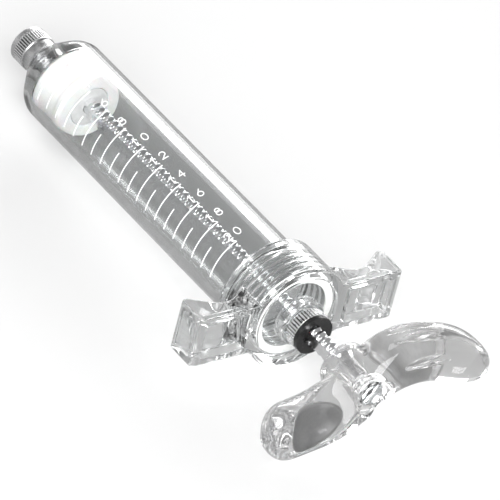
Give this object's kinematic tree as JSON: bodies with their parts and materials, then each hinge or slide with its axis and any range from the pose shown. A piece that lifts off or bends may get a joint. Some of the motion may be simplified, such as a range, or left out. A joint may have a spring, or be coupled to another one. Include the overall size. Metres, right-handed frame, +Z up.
{
  "type": "meat injector syringe",
  "caption": "Clear graduated syringe-type meat injector with white piston, winged screw cap, dose nut, crescent handle and knurled metal tip.",
  "frame": {"origin": "bottom centre of the bounding box, below the barrel's axis", "axes": "+Y along the barrel towards the tip, X along the finger wings, +Z up"},
  "size_m": [0.0626, 0.1522, 0.0275],
  "materials": {
    "clear_barrel": "clear moulded plastic",
    "clear_plastic": "clear moulded plastic",
    "ink_white": "printed ink",
    "nickel": "satin nickel plate",
    "silicone_white": "matte silicone",
    "gasket_grey": "matte silicone",
    "plate_grey": "moulded",
    "lock_black": "semi-matte moulded",
    "steel": "bright turned steel"
  },
  "bodies": {
    "barrel": {"barrel": "clear_barrel", "scale_ticks": "ink_white", "scale_numerals": "ink_white"},
    "tip_seal": {"nozzle_gasket": "gasket_grey"},
    "tip": {"nozzle_body": "nickel", "luer_lock_collar": "nickel"},
    "cap_seal": {"cap_gasket": "gasket_grey"},
    "cap": {"rear_cap": "clear_plastic", "rod_guide": "clear_plastic"},
    "piston": {"piston_seal": "silicone_white", "piston_rear_plate": "plate_grey", "piston_front_plate": "plate_grey", "piston_screw": "steel"},
    "plunger": {"plunger_rod": "nickel", "thumb_handle": "clear_plastic", "handle_washer": "steel", "handle_screw": "clear_plastic"},
    "dose_lock": {"dose_lock_ring": "lock_black", "stop_pin": "steel"},
    "dose_nut": {"dose_nut": "nickel"}
  },
  "joints": [
    {"name": "tip_advance", "type": "slide", "parent": "barrel", "child": "tip_seal", "axis": [0, 1, 0], "range_m": [0, 0.006]},
    {"name": "tip_unscrew", "type": "hinge", "parent": "tip_seal", "child": "tip", "pos_m": [0, 0.06589, 0.01375], "axis": [0, 1, 0], "range_deg": [0, 2165]},
    {"name": "cap_advance", "type": "slide", "parent": "barrel", "child": "cap_seal", "axis": [0, -1, 0], "range_m": [0, 0.01]},
    {"name": "cap_unscrew", "type": "hinge", "parent": "cap_seal", "child": "cap", "pos_m": [0, -0.03911, 0.01375], "axis": [0, -1, 0], "range_deg": [0, 1805]},
    {"name": "plunger_slide", "type": "slide", "parent": "cap_seal", "child": "piston", "axis": [0, -1, 0], "range_m": [0, 0.0777]},
    {"name": "plunger_turn", "type": "hinge", "parent": "piston", "child": "plunger", "pos_m": [0, 0.04189, 0.01375], "axis": [0, -1, 0], "continuous": true},
    {"name": "dose_lock_slide", "type": "slide", "parent": "plunger", "child": "dose_lock", "axis": [0, -1, 0], "range_m": [0, 0.008]},
    {"name": "dose_nut_turn", "type": "hinge", "parent": "dose_lock", "child": "dose_nut", "pos_m": [0, -0.04511, 0.01375], "axis": [0, -1, 0], "range_deg": [0, 1445]}
  ],
  "couplings": [
    {"joint": "tip_unscrew", "follows": "tip_advance", "rad_per_m": 6283.2},
    {"joint": "cap_unscrew", "follows": "cap_advance", "rad_per_m": 3141.6},
    {"joint": "dose_nut_turn", "follows": "dose_lock_slide", "rad_per_m": 3141.6}
  ]
}
